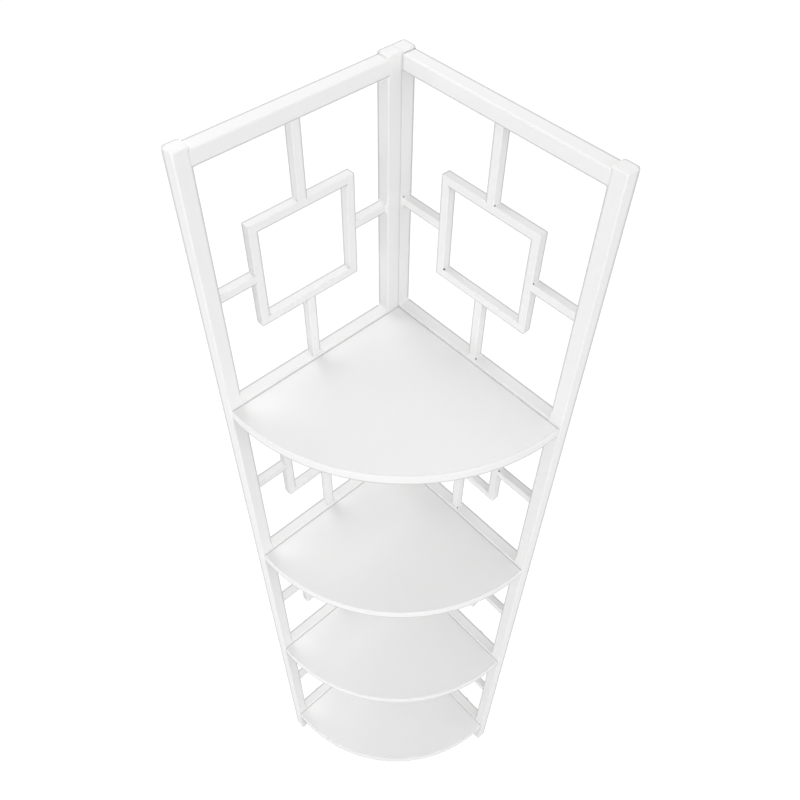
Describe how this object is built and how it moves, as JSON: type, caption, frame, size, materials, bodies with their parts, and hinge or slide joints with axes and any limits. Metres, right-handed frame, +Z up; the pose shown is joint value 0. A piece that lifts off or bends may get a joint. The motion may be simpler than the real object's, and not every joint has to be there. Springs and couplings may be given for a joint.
{
  "type": "corner shelf unit",
  "caption": "Tall corner shelf unit: quarter-round steel shelves between two square-tube panels with square-ring lattice, on plain feet.",
  "frame": {"origin": "centre of the base of the unit's box, on the floor", "axes": "+Z up; the room's corner is at low X and high Y, the left panel runs along Y at low X, the right panel along X at high Y, and the open front looks towards +X and -Y"},
  "size_m": [0.3084, 0.299, 1.5],
  "materials": {
    "frame_coat": "white powder coat, satin, fine orange peel",
    "lattice_coat": "white powder coat, satin, fine orange peel",
    "shelf_coat": "white powder coat, satin, fine orange peel",
    "cap_plastic": "moulded white plastic, matte",
    "glide_plastic": "moulded white plastic, matte",
    "bolt_zinc": "bright zinc plate"
  },
  "bodies": {
    "root": {"corner_bolt_1": "bolt_zinc", "corner_bolt_2": "bolt_zinc", "corner_bolt_3": "bolt_zinc", "left_corner_cap": "cap_plastic", "left_corner_glide": "glide_plastic", "left_corner_post": "frame_coat", "left_front_cap": "cap_plastic", "left_front_glide": "glide_plastic", "left_front_post": "frame_coat", "left_lattice_1": "lattice_coat", "left_lattice_2": "lattice_coat", "left_lattice_3": "lattice_coat", "left_lattice_4": "lattice_coat", "left_shelf_bolt_1_1": "bolt_zinc", "left_shelf_bolt_1_2": "bolt_zinc", "left_shelf_bolt_2_1": "bolt_zinc", "left_shelf_bolt_2_2": "bolt_zinc", "left_shelf_bolt_3_1": "bolt_zinc", "left_shelf_bolt_3_2": "bolt_zinc", "left_shelf_bolt_4_1": "bolt_zinc", "left_shelf_bolt_4_2": "bolt_zinc", "left_shelf_rail_1": "frame_coat", "left_shelf_rail_2": "frame_coat", "left_shelf_rail_3": "frame_coat", "left_shelf_rail_4": "frame_coat", "left_top_rail": "frame_coat", "right_corner_cap": "cap_plastic", "right_corner_glide": "glide_plastic", "right_corner_post": "frame_coat", "right_front_cap": "cap_plastic", "right_front_glide": "glide_plastic", "right_front_post": "frame_coat", "right_lattice_1": "lattice_coat", "right_lattice_2": "lattice_coat", "right_lattice_3": "lattice_coat", "right_lattice_4": "lattice_coat", "right_shelf_bolt_1_1": "bolt_zinc", "right_shelf_bolt_1_2": "bolt_zinc", "right_shelf_bolt_2_1": "bolt_zinc", "right_shelf_bolt_2_2": "bolt_zinc", "right_shelf_bolt_3_1": "bolt_zinc", "right_shelf_bolt_3_2": "bolt_zinc", "right_shelf_bolt_4_1": "bolt_zinc", "right_shelf_bolt_4_2": "bolt_zinc", "right_shelf_rail_1": "frame_coat", "right_shelf_rail_2": "frame_coat", "right_shelf_rail_3": "frame_coat", "right_shelf_rail_4": "frame_coat", "right_top_rail": "frame_coat", "shelf_1": "shelf_coat", "shelf_2": "shelf_coat", "shelf_3": "shelf_coat", "shelf_4": "shelf_coat"}
  },
  "joints": []
}
